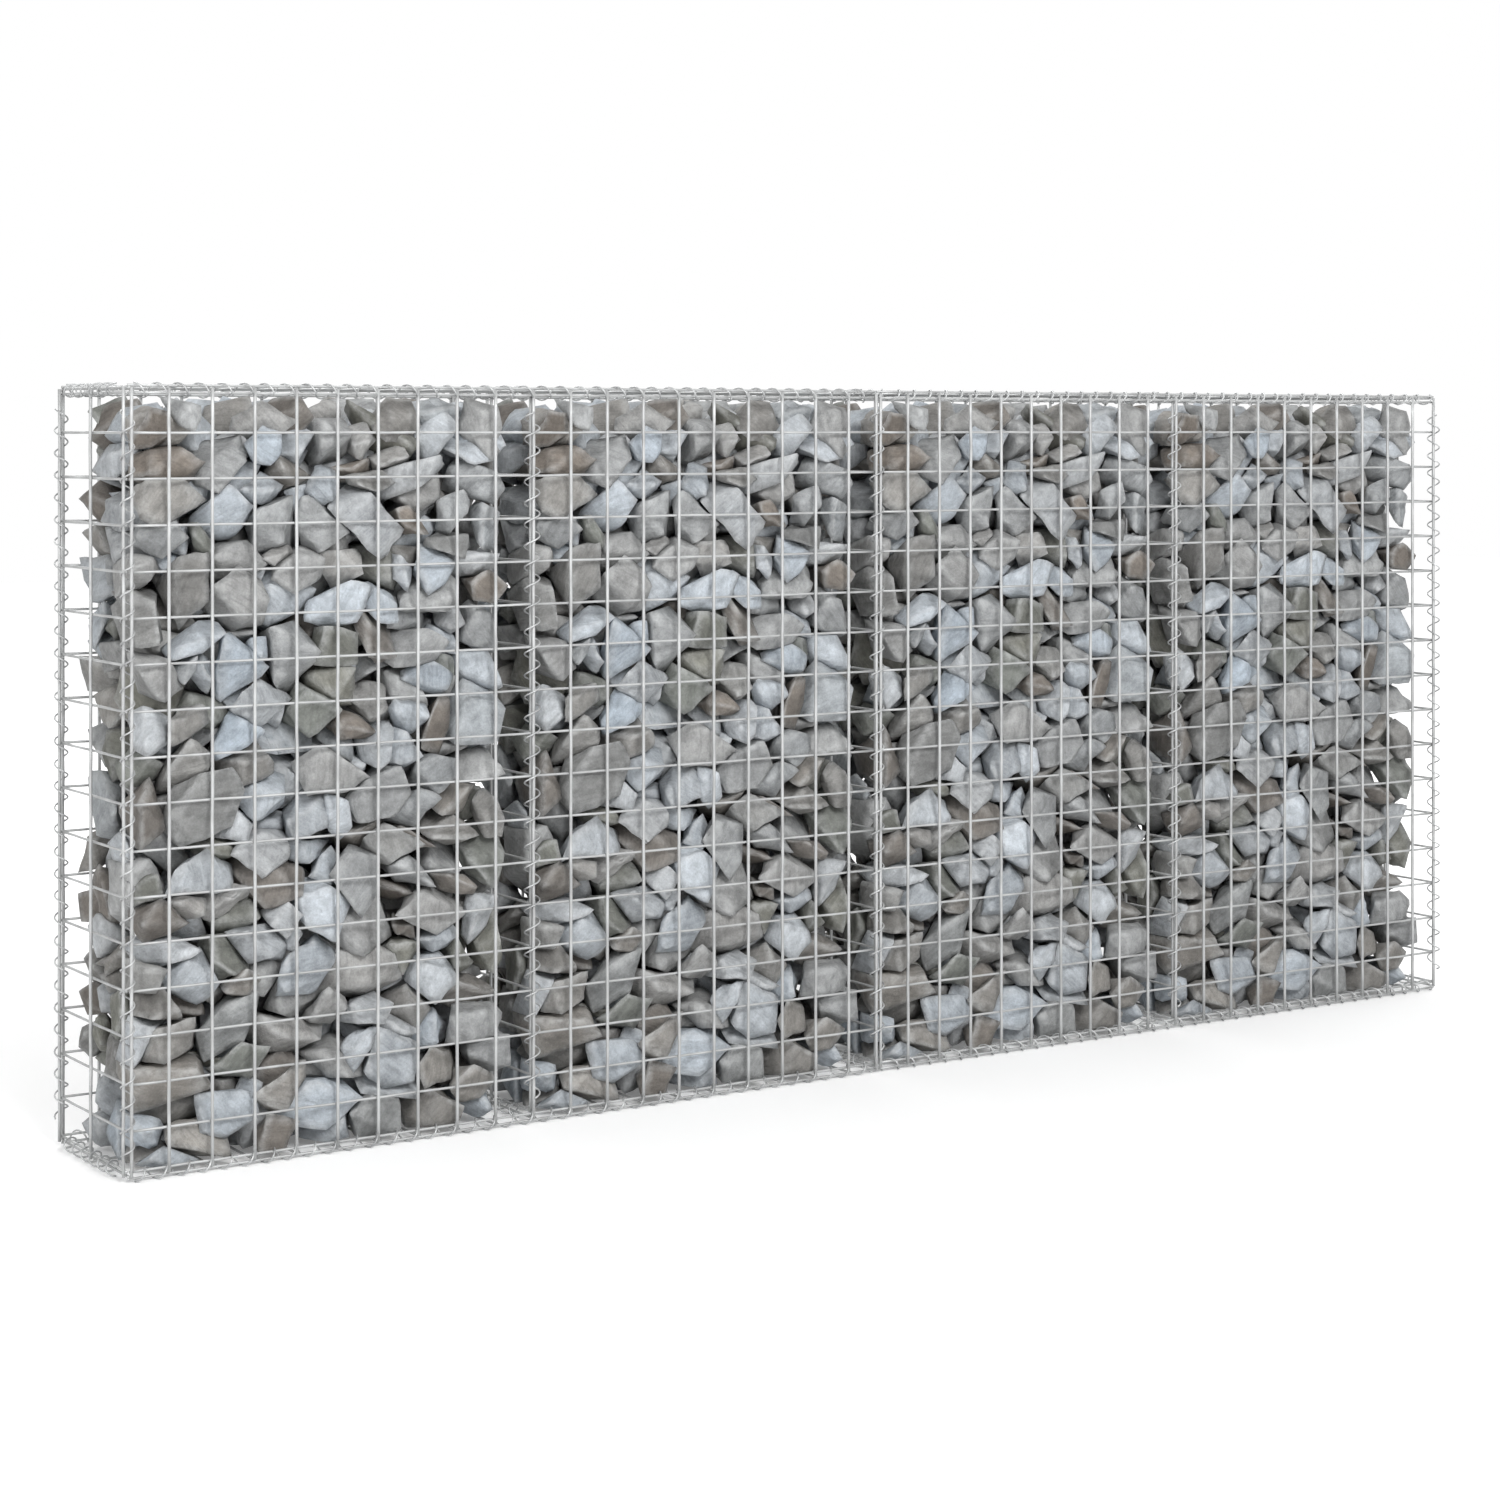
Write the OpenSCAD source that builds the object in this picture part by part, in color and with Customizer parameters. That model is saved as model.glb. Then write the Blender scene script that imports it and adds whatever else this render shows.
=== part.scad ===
// Gabion wall: a long, thin welded-mesh cage laced together with wire spirals
// and filled with stone. Two mesh panels, each spanning two bays, make each long
// side, the floor and the lid. A mesh divider closes every bay joint.
//
// Frame: X along the wall, -Y is the front, +Z up, millimetres.
// The origin is the centre of the footprint, on the ground.

/* [Wall] */
// Length of one bay, divider to divider
bay_len = 496; // [296:10:796]
// Depth of the cage, front spiral axis to back spiral axis
cage_depth = 199; // [159:10:399]
// Overall height, ground to the top of the highest spiral
wall_h = 860; // [460:10:1160]

/* [Mesh] */
// Spacing of the mesh wires
mesh_pitch = 50; // [50]
// Diameter of the upright wires, which lie on the outside of the mesh
upright_d = 4; // [3:0.5:4]
// Diameter of the row wires, and of every wire in the floor and the lid
row_d = 3; // [2.5:0.5:3]
// How far two crossing wires sink into each other at a weld
weld_sink = 0.5; // [0.3:0.1:0.6]

/* [Spirals] */
// Outer diameter of a lacing spiral across its narrow way
spiral_d = 16; // [16:0.5:18]
// Diameter of the spiral wire
spiral_wire_d = 2; // [1.6:0.2:2]

/* [Stone fill] */
// Gap between the stones and the divider or end panel on their left
fill_gap_left = 14; // [12:1:40]
// Gap between the stones and the divider or end panel on their right
fill_gap_right = 32; // [12:1:60]
// Gap between the stones and the lid
fill_gap_top = 16; // [12:1:60]

/* [Hidden] */

// Colours of the galvanised mesh, the lacing and the stones
mesh_color = "silver";
spiral_color = "darkgray";
stone_color = "dimgray";

// Bars have few sides, because hundreds of them cross
bar_sides = 6;

// The wall is two panels long, and each panel spans two bays
bays_per_panel = 2;
panel_len = bays_per_panel * bay_len;
end_x = panel_len;
front_y = -cage_depth / 2;
floor_z = spiral_d / 2;
axis_h = wall_h - spiral_d;
mid_z = wall_h / 2;

// Inside an edge spiral, whose axis is the zero of these offsets, each panel's
// edge wires have a place of their own. "Out" is away from the stones.
upright_r = upright_d / 2;
row_r = row_d / 2;
upright_out = 3.3;
row_in = 3.8;
edge_wire_clear = 0.3;
cross_gap = upright_r + row_r - weld_sink;
row_out = upright_out - cross_gap;
row_start = row_r - row_out + edge_wire_clear + 0.1;
upright_end = 2;

// The floor's long wires lie lowest and carry its cross wires
long_out = 4.2;
long_in = 1;
cross_out = long_out - (row_d - weld_sink);
cross_in = 2;
wire_overhang = 2;

// A divider stands behind the front panel's rows and ends above the floor's wires
divider_in = row_r - row_out + upright_r + edge_wire_clear + 0.1;
divider_end = 0.5;

// The stones stop this far from the spirals of the front and back
fill_clear = 0.6;

// Wires between two edges, an even number on both sides of the middle. The edge
// meshes are the ones that come out narrower, down to this share of the pitch.
edge_mesh_share = 0.6;
function steps_to(half, first) = floor((half - edge_mesh_share * mesh_pitch - first) / mesh_pitch);
function mesh_steps(half, first) = [
    for (i = [0 : steps_to(half, first)], side = [-1, 1])
        if (first > 0 || i > 0 || side > 0)
            side * (first + i * mesh_pitch)
];

// Rows: an edge row at the bottom and the top, and an even number between them
row_reach = axis_h / 2 - row_in;
row_zs = [for (z = concat([-row_reach, row_reach], mesh_steps(row_reach, mesh_pitch / 2))) mid_z + z];

// One turn for every half mesh, so that no turn meets a mesh wire
turn_pitch = mesh_pitch / 2;
turn_r = (spiral_d - spiral_wire_d) / 2;
turn_wide_r = norm([turn_r, turn_pitch / 4]);
spiral_wide_d = 2 * turn_wide_r + spiral_wire_d;
neck_len = 0.4;
neck_share = 0.9;

// The spirals across the wall are moved along, clear of its middle wires
cross_shift = 0.3 * turn_pitch;

// Along a panel: two edge wires, and the rest on the mesh pitch from its middle,
// where the divider of its two bays stands
panel_mid = -panel_len / 2;
upright_reach = panel_len / 2 - upright_out;
cross_reach = panel_len / 2 - cross_in;
inner_xs = mesh_steps(upright_reach, 0);

module bar_up(x, y, d, low, high) {
    translate([x, y, low])
        cylinder(h = high - low, d = d, $fn = bar_sides);
}

module bar_along_x(y, z, d, low, high) {
    translate([low, y, z])
        rotate([0, 90, 0])
            cylinder(h = high - low, d = d, $fn = bar_sides);
}

module bar_along_y(x, z, d, low, high) {
    translate([x, low, z])
        rotate([-90, 0, 0])
            cylinder(h = high - low, d = d, $fn = bar_sides);
}

// A long side of the cage, from one end of the wall to its middle joint
module long_panel() {
    for (x = concat([-upright_reach, upright_reach], inner_xs))
        bar_up(panel_mid + x, front_y - upright_out, upright_d, floor_z - upright_end, wall_h - floor_z + upright_end);
    for (z = row_zs)
        bar_along_x(front_y - row_out, z, row_d, row_start - panel_len, -row_start);
}

// An end of the cage, or a divider: three uprights and the rows between them
module cross_panel(upright_x, row_x, edge_in, first, low) {
    edge_y = -front_y - edge_in;
    for (y = [-edge_y, 0, edge_y])
        bar_up(upright_x, y, upright_d, low, wall_h - low);
    for (z = row_zs)
        bar_along_y(row_x, z, row_d, front_y + first, -front_y - first);
}

module end_panel() {
    cross_panel(-end_x - upright_out, -end_x - row_out, upright_out, row_start, floor_z - upright_end);
}

module divider(joint) {
    translate([(joint - bays_per_panel) * bay_len, 0, 0])
        cross_panel(0, cross_gap, divider_in, divider_in - upright_r, floor_z + divider_end);
}

// The floor mesh under one panel's two bays
module floor_panel() {
    edge_y = -front_y - long_in;
    for (y = [-edge_y, 0, edge_y])
        bar_along_x(y, floor_z - long_out, row_d, panel_mid - cross_reach - wire_overhang,
                    panel_mid + cross_reach + wire_overhang);
    for (x = concat([-cross_reach, cross_reach], inner_xs))
        bar_along_y(panel_mid + x, floor_z - cross_out, row_d, -edge_y - wire_overhang, edge_y + wire_overhang);
}

// Half a turn of spiral round Z, climbing half a pitch from +X to -X. It is
// half a circle on a slope, so the spiral is narrow along X and wide along Y.
// A short neck, a shade thinner than the wire, joins it to the half turn below.
module half_turn() {
    rise = turn_pitch / 2;
    translate([0, neck_len / 2, rise / 2])
        rotate([0, atan(rise / 2 / turn_r), 0])
            rotate_extrude(angle = 180)
                translate([turn_wide_r, 0])
                    circle(d = spiral_wire_d);
    translate([turn_r, 0, 0])
        rotate([90, 0, 0])
            cylinder(h = neck_len, d = spiral_wire_d * neck_share, center = true);
}

// A spiral round Z through a mesh whose wires cross it at whole steps of
// turn_pitch. Its turns pass those heights only at -X, so every mesh wire that
// leaves towards +X, +Y or -Y runs between two turns.
module spiral(low, high) {
    rise = turn_pitch / 2;
    first = ceil(low / rise);
    last = floor(high / rise) - 1;
    for (i = [first : last])
        translate([0, 0, i * rise])
            rotate([0, 0, i % 2 == 0 ? 180 : 0])
                half_turn();
}

// The spiral's span on an upright edge, clear of the spirals along the floor and lid
module upright_spiral(x, y, turn) {
    reach = mid_z - spiral_d - spiral_wire_d;
    translate([x, y, mid_z])
        rotate([0, 0, turn])
            spiral(-reach, reach);
}

module corner_spiral() {
    upright_spiral(-end_x, front_y, 0);
}

module joint_spiral(joint) {
    upright_spiral((joint - bays_per_panel) * bay_len, front_y, 90);
}

// The lacing along the front edge of the floor: one spiral for each panel
module floor_edge_spiral() {
    for (side = [0, 1])
        mirror([side, 0, 0])
            translate([panel_mid, front_y, floor_z])
                rotate([0, 90, 0])
                    mirror([1, 0, 0])
                        spiral(-upright_reach, upright_reach);
}

// The lacing across the floor, at an end or under a divider
module floor_cross_spiral(x) {
    reach = -front_y - spiral_wide_d / 2 - spiral_wire_d;
    translate([x, cross_shift, floor_z])
        rotate([-90, 0, 0])
            rotate([0, 0, -90])
                spiral(-reach, reach - cross_shift);
}

// A plain block the size of one bay's stones, resting on the floor's cross wires
module stone_fill(bay) {
    low_z = floor_z - cross_out + row_r * cos(180 / bar_sides);
    inset = spiral_wide_d / 2 + fill_clear;
    translate([(bay - 1 - bays_per_panel) * bay_len + fill_gap_left, front_y + inset, low_z])
        cube([
            bay_len - fill_gap_left - fill_gap_right,
            cage_depth - 2 * inset,
            wall_h - floor_z - fill_gap_top - low_z
        ]);
}

// The wall is alike on both sides, at both ends, and at its floor and lid
module at_back() {
    mirror([0, 1, 0]) children();
}

module at_right() {
    mirror([1, 0, 0]) children();
}

module at_top() {
    translate([0, 0, wall_h])
        mirror([0, 0, 1]) children();
}

module front_panel_left() { color(mesh_color) long_panel(); }
module front_panel_right() { color(mesh_color) at_right() long_panel(); }
module back_panel_left() { color(mesh_color) at_back() long_panel(); }
module back_panel_right() { color(mesh_color) at_back() at_right() long_panel(); }
module end_panel_left() { color(mesh_color) end_panel(); }
module end_panel_right() { color(mesh_color) at_right() end_panel(); }
module mesh_divider(joint) { color(mesh_color) divider(joint); }
module floor_panel_left() { color(mesh_color) floor_panel(); }
module floor_panel_right() { color(mesh_color) at_right() floor_panel(); }
module lid_left() { color(mesh_color) at_top() floor_panel(); }
module lid_right() { color(mesh_color) at_top() at_right() floor_panel(); }
module bay_stones(bay) { color(stone_color) stone_fill(bay); }
module corner_spiral_front_left() { color(spiral_color) corner_spiral(); }
module corner_spiral_front_right() { color(spiral_color) at_right() corner_spiral(); }
module corner_spiral_back_left() { color(spiral_color) at_back() corner_spiral(); }
module corner_spiral_back_right() { color(spiral_color) at_back() at_right() corner_spiral(); }
module joint_spiral_front(joint) { color(spiral_color) joint_spiral(joint); }
module joint_spiral_back(joint) { color(spiral_color) at_back() joint_spiral(joint); }
module floor_spirals_front() { color(spiral_color) floor_edge_spiral(); }
module floor_spirals_back() { color(spiral_color) at_back() floor_edge_spiral(); }
module lid_spirals_front() { color(spiral_color) at_top() floor_edge_spiral(); }
module lid_spirals_back() { color(spiral_color) at_top() at_back() floor_edge_spiral(); }
module floor_spiral_left() { color(spiral_color) floor_cross_spiral(-end_x); }
module floor_spiral_right() { color(spiral_color) floor_cross_spiral(end_x); }
module lid_spiral_left() { color(spiral_color) at_top() floor_cross_spiral(-end_x); }
module lid_spiral_right() { color(spiral_color) at_top() floor_cross_spiral(end_x); }
module floor_divider_spirals() {
    color(spiral_color)
        for (x = [-bay_len, 0, bay_len])
            floor_cross_spiral(x);
}
module lid_divider_spirals() {
    at_top() floor_divider_spirals();
}

front_panel_left();
front_panel_right();
back_panel_left();
back_panel_right();
end_panel_left();
end_panel_right();
mesh_divider(1);  // divider_1
mesh_divider(2);  // divider_2
mesh_divider(3);  // divider_3
floor_panel_left();
floor_panel_right();
lid_left();
lid_right();
bay_stones(1);  // stone_fill_1
bay_stones(2);  // stone_fill_2
bay_stones(3);  // stone_fill_3
bay_stones(4);  // stone_fill_4
corner_spiral_front_left();
corner_spiral_front_right();
corner_spiral_back_left();
corner_spiral_back_right();
joint_spiral_front(1);  // joint_spiral_front_1
joint_spiral_front(2);  // joint_spiral_front_2
joint_spiral_front(3);  // joint_spiral_front_3
joint_spiral_back(1);  // joint_spiral_back_1
joint_spiral_back(2);  // joint_spiral_back_2
joint_spiral_back(3);  // joint_spiral_back_3
floor_spirals_front();
floor_spirals_back();
lid_spirals_front();
lid_spirals_back();
floor_spiral_left();
floor_spiral_right();
lid_spiral_left();
lid_spiral_right();
floor_divider_spirals();
lid_divider_spirals();
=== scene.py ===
"""The looks of a gabion wall: round galvanised wires, lacing spirals and crushed stones.

Metres, in the CAD's own frame: X along the wall, -Y out of the front, Z up.
Every place is worked out from the boxes of the CAD nodes.
"""

import math

import bmesh
import bpy
import numpy as np
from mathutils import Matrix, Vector

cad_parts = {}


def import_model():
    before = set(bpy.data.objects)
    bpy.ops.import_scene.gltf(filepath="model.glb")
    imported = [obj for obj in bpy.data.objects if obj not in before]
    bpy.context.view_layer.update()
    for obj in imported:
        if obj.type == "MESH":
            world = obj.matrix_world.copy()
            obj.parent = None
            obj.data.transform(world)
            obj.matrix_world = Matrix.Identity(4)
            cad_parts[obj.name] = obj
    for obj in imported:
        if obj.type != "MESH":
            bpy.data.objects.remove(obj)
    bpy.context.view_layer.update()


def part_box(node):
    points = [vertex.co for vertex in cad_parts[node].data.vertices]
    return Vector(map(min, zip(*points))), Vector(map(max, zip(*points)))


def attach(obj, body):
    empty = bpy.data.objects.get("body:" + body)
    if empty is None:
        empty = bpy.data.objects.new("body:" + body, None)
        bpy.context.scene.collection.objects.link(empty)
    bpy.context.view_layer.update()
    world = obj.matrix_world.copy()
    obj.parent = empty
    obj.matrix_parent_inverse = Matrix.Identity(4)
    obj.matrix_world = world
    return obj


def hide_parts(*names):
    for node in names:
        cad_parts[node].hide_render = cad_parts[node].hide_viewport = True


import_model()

# ---------------------------------------------------------------------------
# Sizes that the CAD also uses
# ---------------------------------------------------------------------------

MESH_PITCH = 0.05
UPRIGHT_R = 0.002
ROW_R = 0.0015
SPIRAL_R = 0.001
WELD_SINK = 0.0005
TURN_PITCH = MESH_PITCH / 2

# Offsets of each panel's edge wires from the axis of the spiral that holds them
UPRIGHT_OUT = 0.0033
ROW_IN = 0.0038
UPRIGHT_END = 0.002
CROSS_GAP = UPRIGHT_R + ROW_R - WELD_SINK
ROW_OUT = UPRIGHT_OUT - CROSS_GAP
ROW_START = 0.0016
LONG_OUT = 0.0042
LONG_IN = 0.001
CROSS_OUT = LONG_OUT - (2 * ROW_R - WELD_SINK)
CROSS_IN = 0.002
WIRE_OVERHANG = 0.002
DIVIDER_IN = 0.0036
DIVIDER_END = 0.0005


def centre(node):
    low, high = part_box(node)
    return (low + high) / 2


def half_size(node):
    low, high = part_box(node)
    return (high - low) / 2


# The spirals' axes give the cage's own box
END_X = -centre("corner_spiral_front_left").x
FRONT_Y = centre("corner_spiral_front_left").y
FLOOR_Z = centre("floor_spirals_front").z
LID_Z = centre("lid_spirals_front").z
MID_Z = (FLOOR_Z + LID_Z) / 2
BAY_LEN = END_X / 2
JOINT_XS = [-BAY_LEN, 0.0, BAY_LEN]


# ---------------------------------------------------------------------------
# Meshes from arrays
# ---------------------------------------------------------------------------

# The last ring of a wire is this share of its thickness, which rounds the shading of its end
PINCH = 0.02


class Pieces:
    """Collects many small meshes, so that they can be joined into one object."""

    def __init__(self):
        self.points = []
        self.faces = []
        self.tags = []
        self.count = 0

    def add(self, points, faces, tag=(0.0, 0.0, 0.0, 0.0)):
        self.points.append(points)
        self.faces.append(faces + self.count)
        self.tags.append(np.broadcast_to(tag, (len(points), 4)))
        self.count += len(points)

    def to_object(self, name, material, slot, tag_name=None):
        points = np.concatenate(self.points)
        faces = np.concatenate(self.faces)
        sides = faces.shape[1]
        mesh = bpy.data.meshes.new(name)
        mesh.vertices.add(len(points))
        mesh.vertices.foreach_set("co", points.astype(np.float32).ravel())
        mesh.loops.add(faces.size)
        mesh.loops.foreach_set("vertex_index", faces.astype(np.int32).ravel())
        mesh.polygons.add(len(faces))
        mesh.polygons.foreach_set("loop_start", np.arange(0, faces.size, sides, dtype=np.int32))
        mesh.polygons.foreach_set("use_smooth", np.ones(len(faces), bool))
        if tag_name:
            tags = np.concatenate(self.tags).astype(np.float32)
            attribute = mesh.color_attributes.new(tag_name, "FLOAT_COLOR", "POINT")
            attribute.data.foreach_set("color", tags.ravel())
        mesh.update(calc_edges=True)
        mesh.validate()
        mesh.materials.append(material)
        piece = bpy.data.objects.new(name, mesh)
        bpy.context.scene.collection.objects.link(piece)
        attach(piece, "root")
        return piece


def tube(path, radius, sides):
    """A closed round wire along a path of points, with quad sides and pinched ends."""
    path = np.asarray(path, float)
    along = np.gradient(path, axis=0)
    along /= np.linalg.norm(along, axis=1)[:, None]
    side = np.zeros_like(path)
    guess = np.eye(3)[np.argmin(np.abs(along[0]))]
    for i, direction in enumerate(along):
        guess = guess - direction * (guess @ direction)
        guess /= np.linalg.norm(guess)
        side[i] = guess
    other = np.cross(along, side)
    turn = (np.arange(sides) * 2 * math.pi / sides)[None, :, None]
    ring = np.cos(turn) * side[:, None] + np.sin(turn) * other[:, None]
    body = path[:, None] + radius * ring
    start = path[:1, None] + PINCH * radius * ring[:1]
    finish = path[-1:, None] + PINCH * radius * ring[-1:]
    points = np.concatenate([start, body, finish])
    rings = len(points)
    ring_starts = np.arange(rings - 1)[:, None] * sides
    spots = np.arange(sides)[None, :]
    first = (ring_starts + spots).ravel()
    second = (ring_starts + (spots + 1) % sides).ravel()
    faces = np.stack([first, second, second + sides, first + sides], axis=1)
    end = np.array([(0, i, i + 1, i + 2) for i in range(1, sides - 2, 2)])
    faces = np.concatenate([end[:, ::-1], faces, end + (rings - 1) * sides])
    return points.reshape(-1, 3), faces


# ---------------------------------------------------------------------------
# Materials
# ---------------------------------------------------------------------------


def new_material(name):
    material = bpy.data.materials.new(name)
    material.use_nodes = True
    nodes = material.node_tree.nodes
    return material, nodes, material.node_tree.links, nodes["Principled BSDF"]


def zinc(name, dark, light, roughness):
    """Galvanised wire: pale zinc with faint spangle and duller patches."""
    material, nodes, links, shader = new_material(name)
    position = nodes.new("ShaderNodeTexCoord")
    patches = nodes.new("ShaderNodeTexNoise")
    patches.inputs["Scale"].default_value = 35
    patches.inputs["Detail"].default_value = 5
    tint = nodes.new("ShaderNodeValToRGB")
    tint.color_ramp.elements[0].position = 0.35
    tint.color_ramp.elements[0].color = (*dark, 1)
    tint.color_ramp.elements[1].position = 0.7
    tint.color_ramp.elements[1].color = (*light, 1)
    grain = nodes.new("ShaderNodeTexNoise")
    grain.inputs["Scale"].default_value = 900
    grain.inputs["Detail"].default_value = 3
    dull = nodes.new("ShaderNodeMapRange")
    dull.inputs["To Min"].default_value = roughness - 0.08
    dull.inputs["To Max"].default_value = roughness + 0.12
    bump = nodes.new("ShaderNodeBump")
    bump.inputs["Strength"].default_value = 0.25
    bump.inputs["Distance"].default_value = 0.0002
    links.new(position.outputs["Object"], patches.inputs["Vector"])
    links.new(position.outputs["Object"], grain.inputs["Vector"])
    links.new(patches.outputs["Fac"], tint.inputs["Fac"])
    links.new(tint.outputs["Color"], shader.inputs["Base Color"])
    links.new(grain.outputs["Fac"], dull.inputs["Value"])
    links.new(dull.outputs["Result"], shader.inputs["Roughness"])
    links.new(grain.outputs["Fac"], bump.inputs["Height"])
    links.new(bump.outputs["Normal"], shader.inputs["Normal"])
    shader.inputs["Metallic"].default_value = 0.45
    return material


def rock():
    """Crushed stone: each stone's own colour and layers, pale worn edges, mottling and grit."""
    material, nodes, links, shader = new_material("crushed_stone")
    position = nodes.new("ShaderNodeTexCoord")
    own = nodes.new("ShaderNodeVertexColor")
    own.layer_name = "stone_tint"

    def vector(kind, first, second=None):
        node = nodes.new("ShaderNodeVectorMath")
        node.operation = kind
        for socket, value in zip(node.inputs, (first, second)):
            if isinstance(value, tuple):
                socket.default_value = value
            elif value is not None:
                links.new(value, socket)
        return node

    def noise(source, scale, detail, rough):
        node = nodes.new("ShaderNodeTexNoise")
        node.inputs["Scale"].default_value = scale
        node.inputs["Detail"].default_value = detail
        node.inputs["Roughness"].default_value = rough
        links.new(source, node.inputs["Vector"])
        return node.outputs["Fac"]

    def multiply(share, first, second):
        node = nodes.new("ShaderNodeMix")
        node.data_type = "RGBA"
        node.blend_type = "MULTIPLY"
        node.inputs["Factor"].default_value = share
        links.new(first, node.inputs["A"])
        links.new(second, node.inputs["B"])
        return node.outputs["Result"]

    def ramp(source, *stops):
        node = nodes.new("ShaderNodeValToRGB")
        elements = node.color_ramp.elements
        while len(elements) < len(stops):
            elements.new(0.5)
        for element, (stop, value) in zip(elements, stops):
            element.position = stop
            element.color = (value, value, value, 1)
        links.new(source, node.inputs["Fac"])
        return node.outputs["Color"]

    # Each stone has its own part of the pattern
    shift = vector("MULTIPLY", own.outputs["Color"], (7, 7, 7)).outputs["Vector"]
    spot = vector("ADD", position.outputs["Object"], shift).outputs["Vector"]

    # Its layers lie its own way: the pattern is stretched across a direction of its own
    spread = vector("MULTIPLY", own.outputs["Color"], (211, 173, 307)).outputs["Vector"]
    wave = vector("SINE", spread).outputs["Vector"]
    across = vector("NORMALIZE", wave).outputs["Vector"]
    along = vector("DOT_PRODUCT", position.outputs["Object"], across)
    layers = nodes.new("ShaderNodeVectorMath")
    layers.operation = "SCALE"
    links.new(across, layers.inputs[0])
    links.new(along.outputs["Value"], layers.inputs["Scale"])
    stretched = vector("MULTIPLY", layers.outputs["Vector"], (9, 9, 9)).outputs["Vector"]
    streaked = vector("ADD", spot, stretched).outputs["Vector"]

    broad = noise(spot, 16, 4, 0.55)
    mottle = noise(spot, 70, 8, 0.65)
    grit = noise(spot, 420, 6, 0.7)
    streaks = noise(streaked, 26, 7, 0.6)
    colour = multiply(1.0, own.outputs["Color"], ramp(broad, (0.3, 0.78), (0.7, 1.16)))
    colour = multiply(1.0, colour, ramp(mottle, (0.3, 0.74), (0.55, 1.0), (0.75, 1.22)))
    colour = multiply(0.8, colour, ramp(streaks, (0.32, 0.8), (0.5, 1.0), (0.7, 1.14)))
    colour = multiply(0.6, colour, ramp(grit, (0.3, 0.7), (0.7, 1.2)))
    worn = nodes.new("ShaderNodeMath")
    worn.operation = "MULTIPLY"
    links.new(own.outputs["Alpha"], worn.inputs[0])
    links.new(ramp(mottle, (0.35, 0.1), (0.6, 0.5)), worn.inputs[1])
    pale = nodes.new("ShaderNodeMix")
    pale.data_type = "RGBA"
    pale.inputs["B"].default_value = (0.62, 0.63, 0.63, 1)
    links.new(worn.outputs["Value"], pale.inputs["Factor"])
    links.new(colour, pale.inputs["A"])
    links.new(pale.outputs["Result"], shader.inputs["Base Color"])
    shader.inputs["Roughness"].default_value = 0.86
    shader.inputs["Specular IOR Level"].default_value = 0.3

    # Each pattern also roughens the surface: its strength and its depth
    normal = None
    for source, strength, depth in (
        (broad, 0.8, 0.006),
        (streaks, 0.6, 0.0025),
        (mottle, 0.9, 0.0026),
        (grit, 0.6, 0.0006),
    ):
        bump = nodes.new("ShaderNodeBump")
        bump.inputs["Strength"].default_value = strength
        bump.inputs["Distance"].default_value = depth
        links.new(source, bump.inputs["Height"])
        if normal:
            links.new(normal, bump.inputs["Normal"])
        normal = bump.outputs["Normal"]
    links.new(normal, shader.inputs["Normal"])
    return material


MESH_WIRE = zinc("galvanised_mesh", (0.40, 0.405, 0.405), (0.55, 0.56, 0.56), 0.5)
# The spiral is the same zinc as the mesh wire, but painted paler and with a wider range of tones.
# That extra paleness and contrast is painted highlight and shade for the light on its loops.
SPIRAL_ZINC_PAINTED_HIGHLIGHT = zinc("galvanised_spiral_painted_highlight", (0.36, 0.365, 0.37), (0.58, 0.59, 0.59), 0.42)
STONE = rock()


# ---------------------------------------------------------------------------
# Welded mesh panels
# ---------------------------------------------------------------------------

WIRE_SIDES = 8
WIRE_STEP = MESH_PITCH / 1.5
WIRE_WAVER = 0.00018

# The mesh next to a panel's edge is never narrower than this
LEAST_EDGE_MESH = 0.6 * MESH_PITCH


def mesh_steps(half, first):
    """Wires on the mesh pitch, alike on both sides of the middle."""
    count = math.floor((half - LEAST_EDGE_MESH - first) / MESH_PITCH + 1e-6)
    steps = [first + i * MESH_PITCH for i in range(count + 1)]
    return sorted({sign * step for step in steps for sign in (-1, 1)})


ROW_REACH = (LID_Z - FLOOR_Z) / 2 - ROW_IN
ROW_ZS = [MID_Z + z for z in [-ROW_REACH, *mesh_steps(ROW_REACH, MESH_PITCH / 2), ROW_REACH]]
UPRIGHT_REACH = BAY_LEN - UPRIGHT_OUT
CROSS_REACH = BAY_LEN - CROSS_IN
INNER_XS = mesh_steps(UPRIGHT_REACH, 0)


class Panel:
    """One welded panel: straight wires with the faint waver of real drawn wire."""

    def __init__(self, seed):
        self.pieces = Pieces()
        self.random = np.random.default_rng(seed)

    def wire(self, start, end, radius):
        start, end = np.array(start, float), np.array(end, float)
        length = np.linalg.norm(end - start)
        steps = max(2, int(length / WIRE_STEP))
        share = np.linspace(0, 1, steps + 1)[:, None]
        path = start + (end - start) * share
        along = (end - start) / length
        waver = self.random.normal(0, WIRE_WAVER, path.shape)
        waver[[0, -1]] = 0
        waver -= (waver @ along)[:, None] * along
        self.pieces.add(*tube(path + waver, radius, WIRE_SIDES))

    def finish(self, name):
        piece = self.pieces.to_object(name + "_wires", MESH_WIRE, "mesh_wire")
        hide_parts(name)


def long_panel(name, middle, side, seed):
    """A front or back panel over two bays: its uprights stand outside its rows."""
    panel = Panel(seed)
    upright_y = side * (abs(FRONT_Y) + UPRIGHT_OUT)
    row_y = side * (abs(FRONT_Y) + ROW_OUT)
    for x in [-UPRIGHT_REACH, *INNER_XS, UPRIGHT_REACH]:
        low = (middle + x, upright_y, FLOOR_Z - UPRIGHT_END)
        high = (middle + x, upright_y, LID_Z + UPRIGHT_END)
        panel.wire(low, high, UPRIGHT_R)
    reach = BAY_LEN - ROW_START
    for z in ROW_ZS:
        panel.wire((middle - reach, row_y, z), (middle + reach, row_y, z), ROW_R)
    panel.finish(name)


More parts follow.
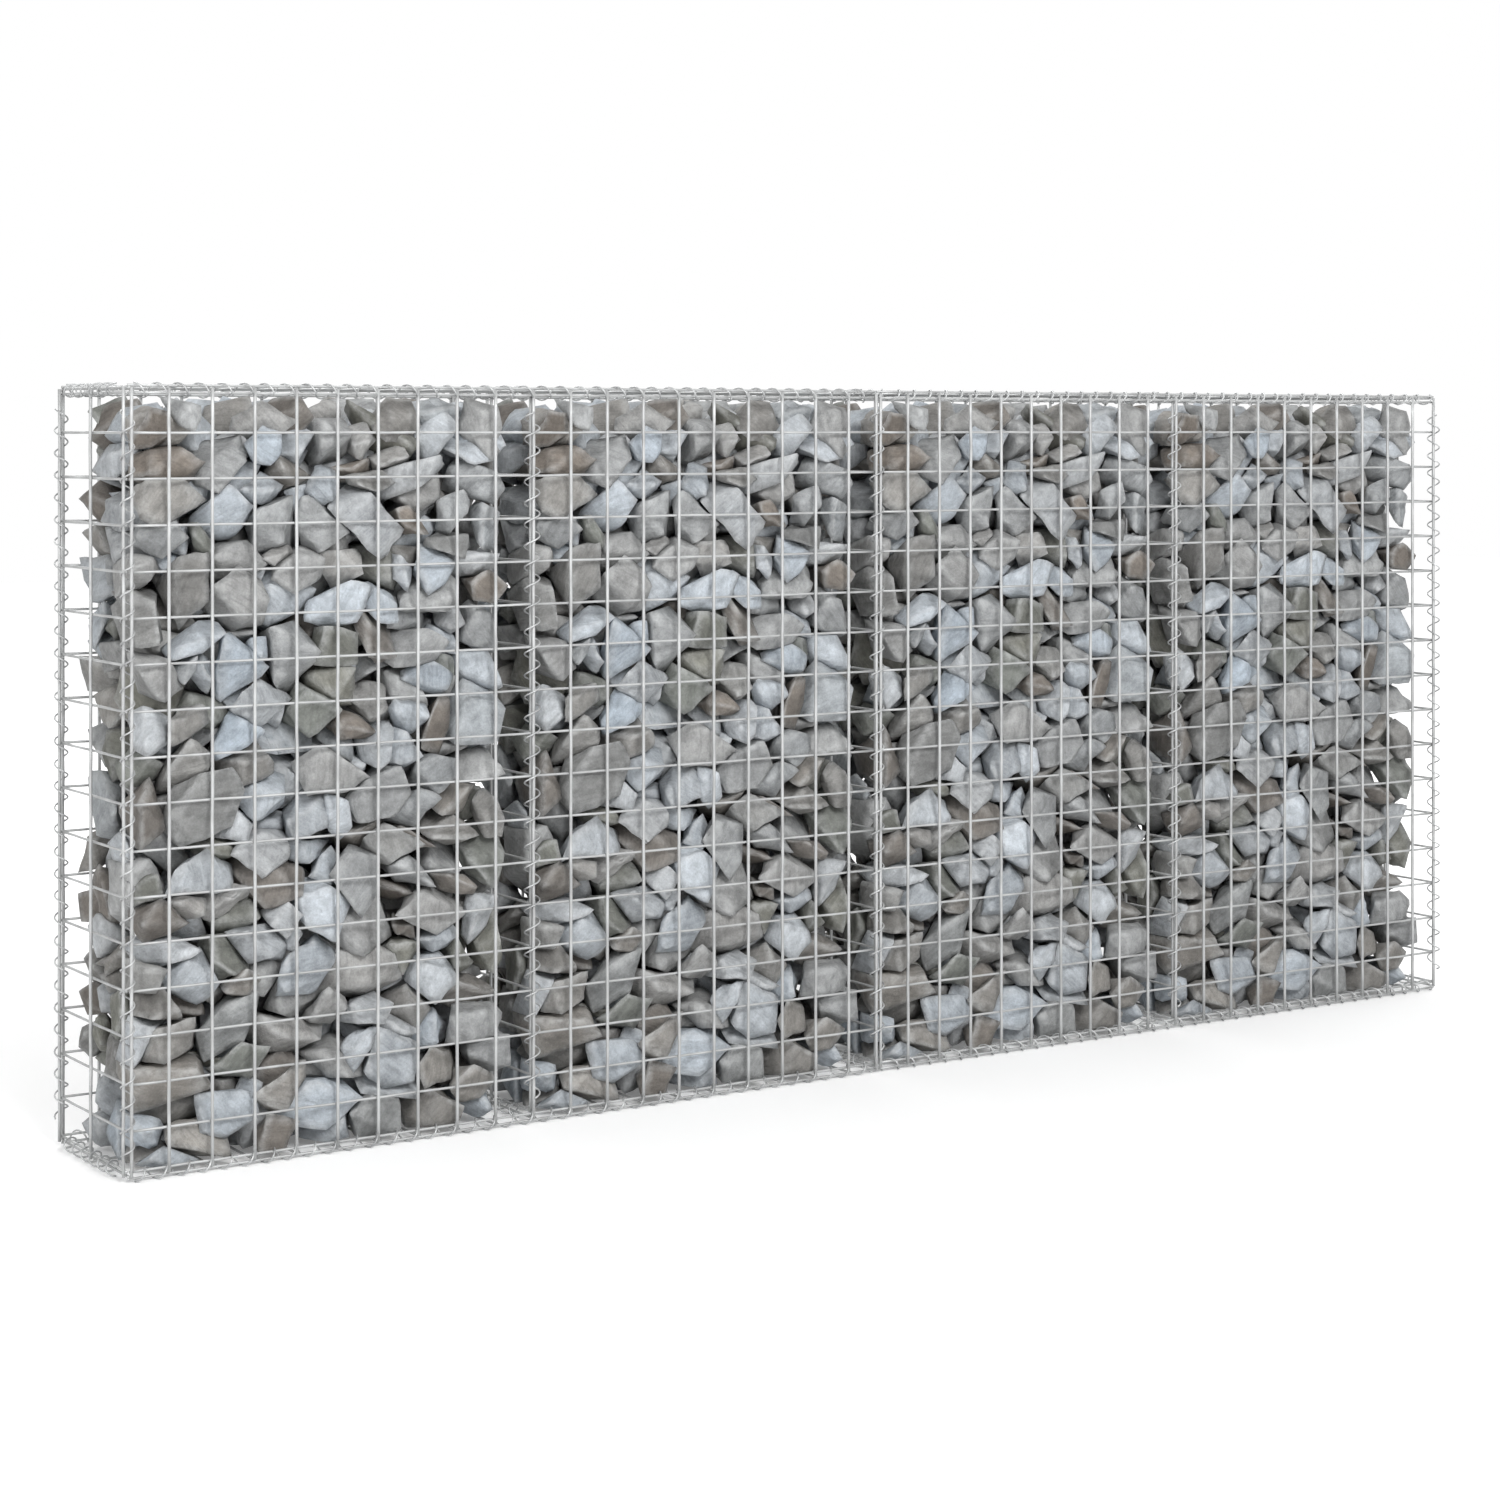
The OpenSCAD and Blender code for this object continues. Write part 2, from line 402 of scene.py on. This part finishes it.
def cross_panel(name, upright_x, row_x, edge_in, first, end, seed):
    """An end panel or a divider, across the wall."""
    panel = Panel(seed)
    edge_y = abs(FRONT_Y) - edge_in
    for y in (-edge_y, 0, edge_y):
        panel.wire((upright_x, y, FLOOR_Z + end), (upright_x, y, LID_Z - end), UPRIGHT_R)
    for z in ROW_ZS:
        panel.wire((row_x, FRONT_Y + first, z), (row_x, -FRONT_Y - first, z), ROW_R)
    panel.finish(name)


def flat_panel(name, middle, axis_z, out, seed):
    """A floor or lid panel over two bays: its long wires lie outside its cross wires."""
    panel = Panel(seed)
    edge_y = abs(FRONT_Y) - LONG_IN
    reach = CROSS_REACH + WIRE_OVERHANG
    z = axis_z + out * LONG_OUT
    for y in (-edge_y, 0, edge_y):
        panel.wire((middle - reach, y, z), (middle + reach, y, z), ROW_R)
    reach = edge_y + WIRE_OVERHANG
    z = axis_z + out * CROSS_OUT
    for x in [-CROSS_REACH, *INNER_XS, CROSS_REACH]:
        panel.wire((middle + x, -reach, z), (middle + x, reach, z), ROW_R)
    panel.finish(name)


def all_panels():
    for i, (half, out) in enumerate((("left", -1), ("right", 1))):
        middle = out * BAY_LEN
        long_panel(f"front_panel_{half}", middle, -1, 10 + i)
        long_panel(f"back_panel_{half}", middle, 1, 20 + i)
        flat_panel(f"floor_panel_{half}", middle, FLOOR_Z, -1, 30 + i)
        flat_panel(f"lid_{half}", middle, LID_Z, 1, 40 + i)
        upright_x = out * (END_X + UPRIGHT_OUT)
        row_x = out * (END_X + ROW_OUT)
        cross_panel(
            f"end_panel_{half}", upright_x, row_x, UPRIGHT_OUT, ROW_START, -UPRIGHT_END, 50 + i
        )
    for i, x in enumerate(JOINT_XS):
        first = DIVIDER_IN - UPRIGHT_R
        cross_panel(f"divider_{i + 1}", x, x + CROSS_GAP, DIVIDER_IN, first, DIVIDER_END, 60 + i)


# ---------------------------------------------------------------------------
# Lacing spirals
# ---------------------------------------------------------------------------

SPIRAL_SIDES = 6
STEPS_PER_TURN = 14
TURN_WAVER = 0.0007

# Turns before a spiral's start, which puts the start of each one beside its wires
START_TURN = 0.5

UP, BACK, RIGHT = (0, 0, 1), (0, 1, 0), (1, 0, 0)


def spiral_path(low, high, wide, narrow, random):
    """A spiral round Z from low to high, with slightly uneven turns."""
    turns = (high - low) / TURN_PITCH
    t = np.linspace(0, turns, int(turns * STEPS_PER_TURN) + 1)
    angle = 2 * math.pi * (t + START_TURN)
    knots = int(turns) + 2
    waver = np.interp(t, np.linspace(0, turns, knots), random.normal(0, TURN_WAVER, knots))
    z = low + t * TURN_PITCH + waver
    return np.stack([narrow * np.cos(angle), wide * np.sin(angle), z], axis=1)


def set_out(path, origin, x_to, y_to, z_to):
    """Turns a path's own axes to the given directions and moves it to its origin."""
    return np.asarray(origin) + path @ np.array([x_to, y_to, z_to], float)


def flip(direction, sign):
    return tuple(sign * value for value in direction)


def span(node, axis):
    """Where a spiral starts and ends along its own axis."""
    low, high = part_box(node)
    return low[axis] + SPIRAL_R, high[axis] - SPIRAL_R


def all_spirals():
    wide = half_size("floor_spirals_front").y - SPIRAL_R
    narrow = half_size("floor_spirals_front").z - SPIRAL_R
    random = np.random.default_rng(7)

    def lacing(name, parts):
        """Each part is an origin, where the path's own X, Y and Z point, its start and its end."""
        pieces = Pieces()
        for origin, x_to, y_to, z_to, low, high in parts:
            path = spiral_path(low, high, wide, narrow, random)
            path = set_out(path, origin, x_to, y_to, z_to)
            pieces.add(*tube(path, SPIRAL_R, SPIRAL_SIDES))
        piece = pieces.to_object(name + "_wire", SPIRAL_ZINC_PAINTED_HIGHLIGHT, "spiral_wire")
        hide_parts(name)

    reach = math.floor(UPRIGHT_REACH / (TURN_PITCH / 2)) * TURN_PITCH / 2
    for side_name, side in (("front", -1), ("back", 1)):
        y = side * abs(FRONT_Y)
        inward = flip(BACK, -side)
        for end_name, end in (("left", -1), ("right", 1)):
            name = f"corner_spiral_{side_name}_{end_name}"
            lacing(name, [((end * END_X, y, 0), flip(RIGHT, -end), inward, UP, *span(name, 2))])
        for i, x in enumerate(JOINT_XS):
            name = f"joint_spiral_{side_name}_{i + 1}"
            lacing(name, [((x, y, 0), inward, flip(RIGHT, side), UP, *span(name, 2))])
        for level_name, z, into in (("floor", FLOOR_Z, 1), ("lid", LID_Z, -1)):
            parts = [
                ((half * BAY_LEN, y, z), flip(UP, into), inward, flip(RIGHT, -half), -reach, reach)
                for half in (-1, 1)
            ]
            lacing(f"{level_name}_spirals_{side_name}", parts)
    for level_name, z, into in (("floor", FLOOR_Z, 1), ("lid", LID_Z, -1)):
        for name, xs in (
            (f"{level_name}_spiral_left", [-END_X]),
            (f"{level_name}_spiral_right", [END_X]),
            (f"{level_name}_divider_spirals", JOINT_XS),
        ):
            parts = [((x, 0, z), flip(UP, into), RIGHT, BACK, *span(name, 1)) for x in xs]
            lacing(name, parts)


# ---------------------------------------------------------------------------
# Crushed stones
# ---------------------------------------------------------------------------

# Base colours and how often each kind of stone turns up
STONE_KINDS = [
    ((0.47, 0.50, 0.53), 0.35),
    ((0.36, 0.365, 0.365), 0.26),
    ((0.28, 0.273, 0.26), 0.20),
    ((0.215, 0.218, 0.195), 0.10),
    ((0.21, 0.19, 0.17), 0.09),
]
SHADE_RANGE = (0.82, 1.15)
WARMTH_SPREAD = 0.02
COLOUR_LIMITS = (0.03, 0.8)

# One stone: its corners, its length, and its width and thickness as shares of that
CORNERS = (7, 10)
STONE_LEN = 0.084
STONE_LEN_SPREAD = 0.25
STONE_LEN_LIMITS = (0.05, 0.13)
WIDTH_SHARE = (0.55, 0.9)
THICK_SHARE = (0.38, 0.72)
MOST_TAPER = 0.55

# The pile settles in a box this many times larger, which suits the solver
SIM_SCALE = 20
SIM_FRAMES = 90
SIM_GRAVITY = -30

# Stones are dropped in layers of columns by rows
STONES_POURED = 680
COLUMNS, ROWS = 5, 2
FIRST_DROP, LAYER_DROP = 0.06, 0.07
DROP_SCATTER = 0.004

# The pouring box: its clearance inside the CAD's fill, its walls and their height
POUR_INSET = (0.003, 0.004, 0.002)
BOX_THICK, BOX_TALL = 0.2, 7.0

# After the pour the pile sinks a little and each stone swells into its neighbours
SETTLE = 0.005
SWELL = 1.06

# Clearance from the front and back rows, and how far the pile stands over the CAD's fill
ROW_CLEAR = 0.0012
HEAP = 0.011

# Stones that end this far over the top are lowered to it, and higher ones are left out
MOST_LOWERED = 0.055
ESCAPED_Z = -0.02

# How far stones stand out of the loose end of a pile, and which ones do
JUT = 0.013
JUT_DEPTH = 0.045

# How far stones stay from the axis of a spiral on the long edges
SPIRAL_CLEAR = half_size("floor_spirals_front").z + 0.0005

# Divisions of a stone's faces, by its depth in the pile
DETAIL_BY_DEPTH = ((0.045, 4), (0.07, 3))
HIDDEN_DETAIL = 1

# A dressed stone: how hollow its faces are, how soft its edges, and its waves
HOLLOW = (-0.02, 0.09)
SOFTEN = 0.34
WAVES, WAVE_RATE, WAVE_HEIGHT = 5, 130, 0.0006


def rock_hull(random):
    """The flat faces of one crushed stone: the hull of points on a squashed, tapered ball."""
    count = int(random.integers(CORNERS[0], CORNERS[1] + 1))
    points = random.normal(0, 1, (count, 3))
    points /= np.linalg.norm(points, axis=1)[:, None]
    # The points push each other apart
    for _ in range(4):
        gap = points[:, None] - points[None]
        distance = np.linalg.norm(gap, axis=2) + np.eye(count)
        points += 0.05 * (gap / distance[..., None] ** 3).sum(axis=1)
        points /= np.linalg.norm(points, axis=1)[:, None]
    length = random.lognormal(math.log(STONE_LEN), STONE_LEN_SPREAD)
    length = float(np.clip(length, *STONE_LEN_LIMITS))
    points[:, 1:] *= 1 - random.uniform(0, MOST_TAPER) * points[:, :1]
    shares = [1, random.uniform(*WIDTH_SHARE), random.uniform(*THICK_SHARE)]
    points *= length / 2 * np.array(shares)
    shell = bmesh.new()
    for point in points:
        shell.verts.new(point)
    bmesh.ops.convex_hull(shell, input=shell.verts)
    loose = [vert for vert in shell.verts if not vert.link_faces]
    bmesh.ops.delete(shell, geom=loose, context="VERTS")
    bmesh.ops.triangulate(shell, faces=shell.faces)
    shell.verts.index_update()
    corners = np.array([vert.co for vert in shell.verts])
    faces = np.array([[vert.index for vert in face.verts] for face in shell.faces])
    shell.free()
    return corners - corners.mean(axis=0), faces


def sim_body(name, points, faces):
    """A thing for the solver, at the solver's own scale."""
    mesh = bpy.data.meshes.new(name)
    points = [tuple(point) for point in points * SIM_SCALE]
    mesh.from_pydata(points, [], [tuple(face) for face in faces])
    thing = bpy.data.objects.new(name, mesh)
    bpy.context.scene.collection.objects.link(thing)
    return thing


def slab(start, end):
    points = np.array([[x, y, z] for x in (0, 1) for y in (0, 1) for z in (0, 1)], float)
    faces = [
        (0, 1, 3, 2), (4, 6, 7, 5), (0, 4, 5, 1), (2, 3, 7, 6), (0, 2, 6, 4), (1, 5, 7, 3),
    ]
    middle, size = (start + end) / 2, end - start
    thing = sim_body("wall", (points - 0.5) * size, faces)
    thing.location = middle * SIM_SCALE
    return thing


def pouring_box(low, high):
    """A floor and four tall walls round the bay."""
    top = np.array([high[0] + BOX_THICK, high[1] + BOX_THICK, BOX_TALL])
    base = low - BOX_THICK
    return [
        slab(base, np.array([top[0], top[1], low[2]])),
        slab(base, np.array([low[0], top[1], BOX_TALL])),
        slab(np.array([high[0], base[1], base[2]]), top),
        slab(base, np.array([top[0], low[1], BOX_TALL])),
        slab(np.array([base[0], high[1], base[2]]), top),
    ]


def hung_stones(rocks, low, high, random):
    """The stones over the bay in layers, each turned its own way."""
    stones = []
    for i, (corners, faces) in enumerate(rocks):
        layer, spot = divmod(i, COLUMNS * ROWS)
        column, row = divmod(spot, ROWS)
        cell = np.array([(column + 0.5) / COLUMNS, (row + 0.5) / ROWS])
        scatter = random.uniform(-DROP_SCATTER, DROP_SCATTER, 2)
        place_xy = low[:2] + (high - low)[:2] * cell + scatter
        place_z = low[2] + FIRST_DROP + layer * LAYER_DROP
        stone = sim_body("stone", corners, faces)
        stone.location = (*(place_xy * SIM_SCALE), place_z * SIM_SCALE)
        turn = random.normal(0, 1, 4)
        stone.rotation_mode = "QUATERNION"
        stone.rotation_quaternion = turn / np.linalg.norm(turn)
        stones.append(stone)
    return stones


def poured_pile(rocks, low, high, random):
    """Drops the stones into a bay and lets them come to rest. Gives each one's turn and place."""
    scene = bpy.context.scene
    bpy.ops.rigidbody.world_add()
    solver = scene.rigidbody_world
    solver.substeps_per_frame = 10
    solver.solver_iterations = 12
    solver.point_cache.frame_end = SIM_FRAMES
    usual_gravity = scene.gravity.copy()
    scene.gravity = (0, 0, SIM_GRAVITY)
    walls = pouring_box(low, high)
    stones = hung_stones(rocks, low, high, random)
    for things, kind in ((walls, "PASSIVE"), (stones, "ACTIVE")):
        first = things[0]
        with bpy.context.temp_override(object=first, active_object=first, selected_objects=things):
            bpy.ops.rigidbody.objects_add(type=kind)
    for wall in walls:
        wall.rigid_body.collision_shape = "BOX"
        wall.rigid_body.friction = 0.2
    for stone in stones:
        stone.rigid_body.collision_shape = "CONVEX_HULL"
        stone.rigid_body.use_margin = True
        stone.rigid_body.collision_margin = 0.01
        stone.rigid_body.friction = 0.45
        stone.rigid_body.restitution = 0.0
        stone.rigid_body.linear_damping = 0.1
        stone.rigid_body.angular_damping = 0.2
    for step in range(1, SIM_FRAMES + 1):
        scene.frame_set(step)
    settled = bpy.context.evaluated_depsgraph_get()
    poses = [np.array(stone.evaluated_get(settled).matrix_world) for stone in stones]
    bpy.ops.rigidbody.world_remove()
    for thing in stones + walls:
        mesh = thing.data
        bpy.data.objects.remove(thing)
        bpy.data.meshes.remove(mesh)
    for group in list(bpy.data.collections):
        if group.name.startswith("RigidBodyWorld"):
            bpy.data.collections.remove(group)
    scene.frame_set(1)
    scene.gravity = usual_gravity
    return [(pose[:3, :3], pose[:3, 3] / SIM_SCALE) for pose in poses]


def divided_face(detail):
    """The points of one divided triangle, as shares of its corners, and its small triangles."""
    grid = [(u, v) for u in range(detail + 1) for v in range(detail + 1 - u)]
    index = {spot: i for i, spot in enumerate(grid)}
    small = []
    for u in range(detail):
        for v in range(detail - u):
            small.append((index[u, v], index[u + 1, v], index[u, v + 1]))
            if u + v < detail - 1:
                small.append((index[u + 1, v], index[u + 1, v + 1], index[u, v + 1]))
    share = np.array([[detail - u - v, u, v] for u, v in grid], float) / detail
    return share, np.array(small)


def dressed_rock(corners, faces, detail, random):
    """Divides a stone's faces, hollows them a little, softens the edges and adds waves."""
    share, small = divided_face(detail)
    hollow = 27 * share.prod(axis=1)
    points, triangles = [], []
    for face in faces:
        a, b, c = corners[face]
        normal = np.cross(b - a, c - a)
        area = np.linalg.norm(normal)
        normal /= area
        depth = random.uniform(*HOLLOW) * math.sqrt(area)
        triangles.append(small + len(points) * len(share))
        points.append(share @ corners[face] - normal * (depth * hollow)[:, None])
    points, triangles = np.concatenate(points), np.concatenate(triangles)
    # Faces meet at shared points
    key = np.round(points, 6)
    _, first, merged = np.unique(key, axis=0, return_index=True, return_inverse=True)
    points, triangles = points[first], merged.ravel()[triangles]
    if detail > 1:
        ends = np.roll(triangles, -1, axis=1).ravel()
        total, links = np.zeros_like(points), np.zeros(len(points))
        np.add.at(total, triangles.ravel(), points[ends])
        np.add.at(links, triangles.ravel(), 1)
        points = points + SOFTEN * (total / links[:, None] - points)
    for _ in range(WAVES):
        rate = random.normal(0, WAVE_RATE, 3)
        height = random.normal(0, WAVE_HEIGHT, 3)
        points = points + height * np.sin(points @ rate + random.uniform(0, 6.3))[:, None]
    return points, triangles, worn_edges(points, triangles)


def worn_edges(points, triangles):
    """How sharp the stone is at each point, from 0 on its flats to 1 on its keenest edges."""
    a, b, c = (points[triangles[:, i]] for i in range(3))
    facing = np.cross(b - a, c - a)
    facing /= np.linalg.norm(facing, axis=1)[:, None] + 1e-12
    total, links = np.zeros_like(points), np.zeros(len(points))
    for i in range(3):
        np.add.at(total, triangles[:, i], facing)
        np.add.at(links, triangles[:, i], 1)
    return np.clip(4 * (1 - np.linalg.norm(total, axis=1) / links) - 0.15, 0, 1)


def stone_colour(random):
    chances = np.array([share for _, share in STONE_KINDS])
    kind = STONE_KINDS[random.choice(len(chances), p=chances / chances.sum())][0]
    warmth = random.normal(0, WARMTH_SPREAD)
    tint = np.array([1 + warmth, 1, 1 - warmth])
    return np.clip(np.array(kind) * random.uniform(*SHADE_RANGE) * tint, *COLOUR_LIMITS)


def clear_of_spirals(points):
    """Pushes points out of the spirals along the long edges of the floor and the lid."""
    for axis_z in (FLOOR_Z, LID_Z):
        up = np.clip(np.abs(points[:, 2] - axis_z) / SPIRAL_CLEAR, 0, 1)
        limit = np.where(up < 1, abs(FRONT_Y) - SPIRAL_CLEAR * np.sqrt(1 - up**2), np.inf)
        points[:, 1] = np.clip(points[:, 1], -limit, limit)
    return points


def fill_bays():
    """One poured pile, set into each bay in turn."""
    random = np.random.default_rng(11)
    low, high = (np.array(corner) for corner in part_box("stone_fill_1"))
    mesh_y = abs(FRONT_Y) + ROW_OUT - ROW_R - ROW_CLEAR
    low[1], high[1] = -mesh_y, mesh_y
    origin = np.array([low[0], 0, 0])
    inset = np.array(POUR_INSET)
    rocks = [rock_hull(random) for _ in range(STONES_POURED)]
    poses = poured_pile(rocks, low - origin + inset, high - origin - inset, random)
    top = high[2] + HEAP
    stones = []
    for (corners, faces), (turn, spot) in zip(rocks, poses):
        placed = corners @ turn.T * SWELL + spot
        over = placed[:, 2].max() - SETTLE - top
        if over > MOST_LOWERED or placed[:, 2].min() < ESCAPED_Z:
            continue
        spot = spot - np.array([0, 0, SETTLE + max(over, 0)])
        if high[0] - low[0] - spot[0] < JUT_DEPTH:
            spot[0] += random.uniform(0, JUT)
        colour = stone_colour(random)
        rooms = (spot[1] - low[1], high[1] - spot[1], spot[0], high[0] - low[0] - spot[0])
        depth = min(*rooms, top - spot[2])
        detail = next((fine for limit, fine in DETAIL_BY_DEPTH if depth < limit), HIDDEN_DETAIL)
        points, triangles, wear = dressed_rock(corners, faces, detail, random)
        points = points @ turn.T * SWELL + spot
        tags = np.column_stack([np.tile(colour, (len(points), 1)), wear])
        stones.append((points, triangles, tags))
    for bay in range(1, 5):
        fill_low, fill_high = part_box(f"stone_fill_{bay}")
        start = np.array([fill_low.x, 0, 0])
        least = (start[0], -mesh_y, low[2])
        most = (fill_high.x + JUT, mesh_y, top)
        pieces = Pieces()
        for points, triangles, tags in stones:
            inside = np.clip(points + start, least, most)
            pieces.add(clear_of_spirals(inside), triangles, tags)
        piece = pieces.to_object(f"stones_bay_{bay}", STONE, "stone", "stone_tint")
        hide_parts(f"stone_fill_{bay}")


# ---------------------------------------------------------------------------
# Studio
# ---------------------------------------------------------------------------

WORLD_LIGHT = 0.45
FLOOR_HALF = 12

# The floor's glow near the object and far from it, and where it changes. It is weaker near
# the object, so that the shadow there still shows.
GLOW_NEAR, GLOW_FAR = 0.16, 0.62
GLOW_FROM, GLOW_TO = 1.2, 5

# Each lamp's name, place, target, size and power
LAMPS = (
    ("key", (-0.9, -4.2, 3.2), (-0.1, 0, 0.4), 2.2, 178),
    ("fill", (-3.6, -1.6, 1.8), (-0.8, 0, 0.4), 2.4, 40),
    ("rim", (0.5, 3.4, 3.0), (0, 0, 0.4), 2.4, 90),
    ("side", (3.4, 0.5, 1.8), (0.9, 0, 0.4), 2.2, 26),
)


def camera():
    data = bpy.data.cameras.new("camera")
    data.lens = 70.67
    data.sensor_width = 36
    data.shift_y = -0.2127
    data.clip_end = 100
    eye = bpy.data.objects.new("camera", data)
    eye.location = (-2.1782, -3.1005, 0.8068)
    eye.rotation_euler = (math.radians(90), 0, math.radians(-33.504))
    bpy.context.scene.collection.objects.link(eye)
    bpy.context.scene.camera = eye


def lamp(name, position, target, size, power):
    data = bpy.data.lights.new(name, "AREA")
    data.shape = "DISK"
    data.size = size
    data.energy = power
    light = bpy.data.objects.new(name, data)
    light.location = position
    facing = Vector(target) - Vector(position)
    light.rotation_euler = facing.to_track_quat("-Z", "Y").to_euler()
    bpy.context.scene.collection.objects.link(light)


def show_white(nodes, links, lit, background):
    """White to the camera and in reflections, while the scene is lit by something plainer."""
    path = nodes.new("ShaderNodeLightPath")
    seen = nodes.new("ShaderNodeMath")
    seen.operation = "MAXIMUM"
    glossy = nodes.new("ShaderNodeMath")
    glossy.operation = "MAXIMUM"
    links.new(path.outputs["Is Camera Ray"], seen.inputs[0])
    links.new(path.outputs["Is Glossy Ray"], glossy.inputs[0])
    links.new(path.outputs["Is Transmission Ray"], glossy.inputs[1])
    links.new(glossy.outputs["Value"], seen.inputs[1])
    blend = nodes.new("ShaderNodeMixShader")
    links.new(seen.outputs["Value"], blend.inputs["Fac"])
    links.new(lit, blend.inputs[1])
    links.new(background, blend.inputs[2])
    return blend.outputs["Shader"]


def world():
    scene_world = bpy.data.worlds.new("studio")
    bpy.context.scene.world = scene_world
    scene_world.use_nodes = True
    nodes = scene_world.node_tree.nodes
    links = scene_world.node_tree.links
    lit = nodes["Background"]
    lit.inputs["Color"].default_value = (1, 1, 1, 1)
    lit.inputs["Strength"].default_value = WORLD_LIGHT
    white = nodes.new("ShaderNodeBackground")
    white.inputs["Color"].default_value = (1, 1, 1, 1)
    white.inputs["Strength"].default_value = 1
    surface = show_white(nodes, links, lit.outputs["Background"], white.outputs["Background"])
    links.new(surface, nodes["World Output"].inputs["Surface"])


def floor():
    """A pale floor that shows white around the object's own soft shadow."""
    mesh = bpy.data.meshes.new("floor")
    corners = [(x * FLOOR_HALF, y * FLOOR_HALF, 0) for x, y in ((-1, -1), (1, -1), (1, 1), (-1, 1))]
    mesh.from_pydata(corners, [], [(0, 1, 2, 3)])
    material, nodes, links, shader = new_material("pale_floor")
    shader.inputs["Base Color"].default_value = (0.9, 0.9, 0.9, 1)
    shader.inputs["Roughness"].default_value = 0.9
    position = nodes.new("ShaderNodeTexCoord")
    away = nodes.new("ShaderNodeVectorMath")
    away.operation = "LENGTH"
    strength = nodes.new("ShaderNodeMapRange")
    strength.inputs["From Min"].default_value = GLOW_FROM
    strength.inputs["From Max"].default_value = GLOW_TO
    strength.inputs["To Min"].default_value = GLOW_NEAR
    strength.inputs["To Max"].default_value = GLOW_FAR
    glow = nodes.new("ShaderNodeEmission")
    both = nodes.new("ShaderNodeAddShader")
    links.new(position.outputs["Object"], away.inputs[0])
    links.new(away.outputs["Value"], strength.inputs["Value"])
    links.new(strength.outputs["Result"], glow.inputs["Strength"])
    links.new(shader.outputs["BSDF"], both.inputs[0])
    links.new(glow.outputs["Emission"], both.inputs[1])
    surface = show_white(nodes, links, shader.outputs["BSDF"], both.outputs["Shader"])
    links.new(surface, nodes["Material Output"].inputs["Surface"])
    mesh.materials.append(material)
    ground = bpy.data.objects.new("floor", mesh)
    bpy.context.scene.collection.objects.link(ground)


def studio():
    camera()
    world()
    floor()
    for facts in LAMPS:
        lamp(*facts)
    bpy.context.scene.view_settings.view_transform = "Standard"


all_panels()
all_spirals()
fill_bays()
studio()
